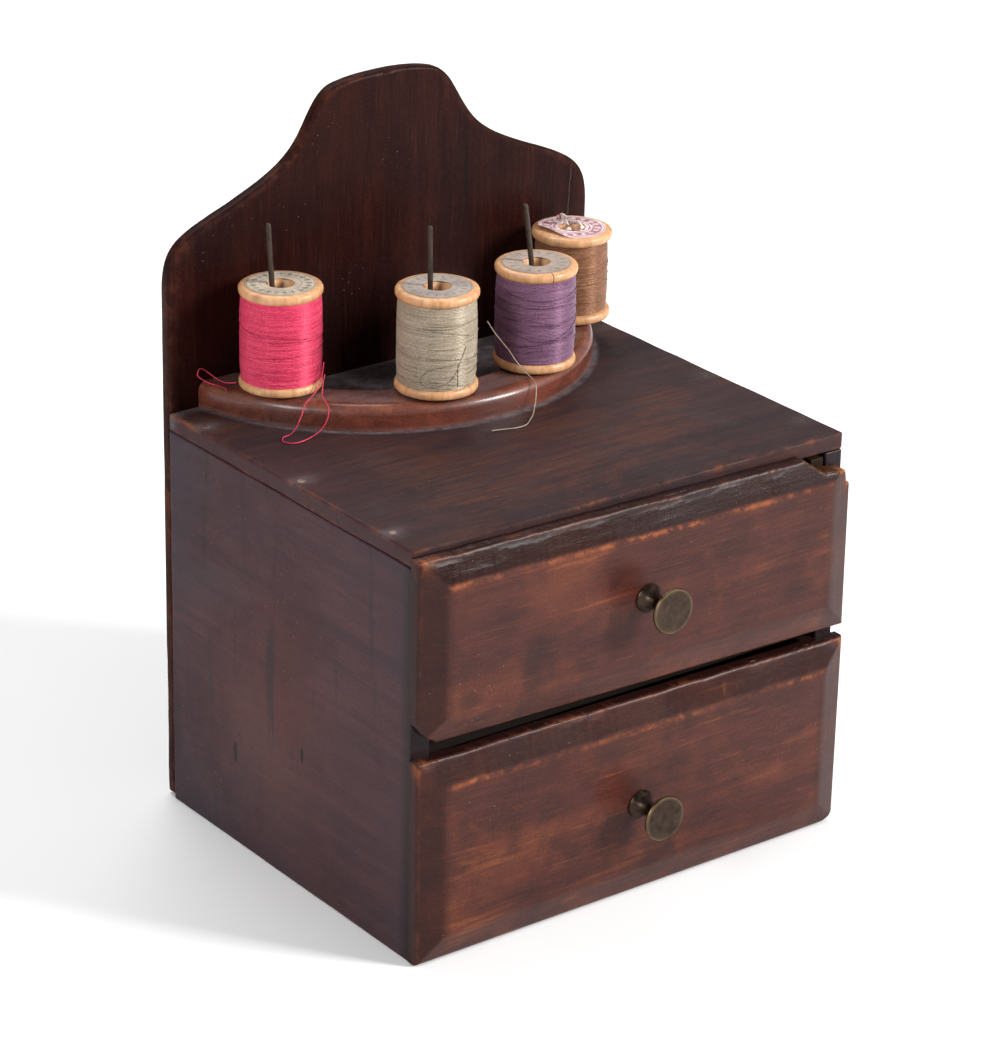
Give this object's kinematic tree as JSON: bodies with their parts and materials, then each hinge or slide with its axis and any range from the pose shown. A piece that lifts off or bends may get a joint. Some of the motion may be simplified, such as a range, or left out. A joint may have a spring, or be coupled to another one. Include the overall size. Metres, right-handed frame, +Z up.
{
  "type": "bobbin box",
  "caption": "Small wooden sewing box with stacked drawers, a shaped tall back board, and thread reels on pins along a curved rail.",
  "frame": {"origin": "bottom centre of the whole box, knobs included, without the loose thread", "axes": "+Z up, +X to the right seen from the front, the drawers open towards -Y"},
  "size_m": [0.1884, 0.1746, 0.262],
  "materials": {
    "case_wood": "dark mahogany stain under worn shellac, satin with soft highlights",
    "top_wood": "dark stain worn through to orange-brown in patches, dusty satin",
    "rail_wood": "polished red-brown stain with a dusty flat top",
    "inner_wood": "old unpolished softwood, darkened",
    "front_wood": "red-brown shellac, orange where the bevels are worn",
    "drawer_wood": "plain unpolished drawer lining, aged",
    "reel_wood": "pale turned birch, waxed",
    "brass": "dark patinated brass with a brighter rim",
    "iron": "dark rusted iron wire",
    "paper": "aged matt paper label",
    "pink_thread": "mercerised cotton thread, slight sheen",
    "olive_thread": "mercerised cotton thread, slight sheen",
    "purple_thread": "mercerised cotton thread, slight sheen",
    "brown_thread": "mercerised cotton thread, slight sheen"
  },
  "bodies": {
    "case": {"back_board": "case_wood", "side_left": "case_wood", "side_right": "case_wood", "bottom_board": "inner_wood", "drawer_divider": "inner_wood", "top_board": "top_wood", "reel_rail": "rail_wood", "reel_pin_1": "iron", "reel_pin_2": "iron", "reel_pin_3": "iron", "reel_pin_4": "iron", "top_nail_left_1": "iron", "top_nail_left_2": "iron", "top_nail_left_3": "iron", "top_nail_right_1": "iron", "top_nail_right_2": "iron", "top_nail_right_3": "iron", "back_brad_left_1": "iron", "back_brad_left_2": "iron", "back_brad_left_3": "iron", "back_brad_right_1": "iron", "back_brad_right_2": "iron", "back_brad_right_3": "iron", "pink_thread_loop": "pink_thread", "pink_thread_end": "pink_thread", "olive_thread_end": "olive_thread"},
    "upper_drawer": {"upper_drawer_front": "front_wood", "upper_drawer_side_left": "drawer_wood", "upper_drawer_side_right": "drawer_wood", "upper_drawer_back": "drawer_wood", "upper_drawer_floor": "drawer_wood", "upper_drawer_knob": "brass", "upper_drawer_knob_nut": "brass"},
    "lower_drawer": {"lower_drawer_front": "front_wood", "lower_drawer_side_left": "drawer_wood", "lower_drawer_side_right": "drawer_wood", "lower_drawer_back": "drawer_wood", "lower_drawer_floor": "drawer_wood", "lower_drawer_knob": "brass", "lower_drawer_knob_nut": "brass"},
    "reel_1": {"reel_1_wood": "reel_wood", "reel_1_thread": "pink_thread", "reel_1_label_top": "paper", "reel_1_label_bottom": "paper"},
    "reel_2": {"reel_2_wood": "reel_wood", "reel_2_thread": "olive_thread", "reel_2_label_top": "paper", "reel_2_label_bottom": "paper"},
    "reel_3": {"reel_3_wood": "reel_wood", "reel_3_thread": "purple_thread", "reel_3_label_top": "paper", "reel_3_label_bottom": "paper"},
    "reel_4": {"reel_4_wood": "reel_wood", "reel_4_thread": "brown_thread", "reel_4_label_top": "paper", "reel_4_label_bottom": "paper"}
  },
  "joints": [
    {"name": "upper_drawer_slide", "type": "slide", "parent": "case", "child": "upper_drawer", "axis": [0, -1, 0], "range_m": [0, 0.11]},
    {"name": "lower_drawer_slide", "type": "slide", "parent": "case", "child": "lower_drawer", "axis": [0, -1, 0], "range_m": [0, 0.11]},
    {"name": "reel_1_spin", "type": "hinge", "parent": "case", "child": "reel_1", "pos_m": [-0.0588, 0.06195, 0.18], "axis": [0, 0, 1], "continuous": true},
    {"name": "reel_2_spin", "type": "hinge", "parent": "case", "child": "reel_2", "pos_m": [-0.015, 0.02945, 0.18], "axis": [0, 0, 1], "continuous": true},
    {"name": "reel_3_spin", "type": "hinge", "parent": "case", "child": "reel_3", "pos_m": [0.0292, 0.03045, 0.18], "axis": [0, 0, 1], "continuous": true},
    {"name": "reel_4_spin", "type": "hinge", "parent": "case", "child": "reel_4", "pos_m": [0.0706, 0.06275, 0.18], "axis": [0, 0, 1], "continuous": true}
  ]
}
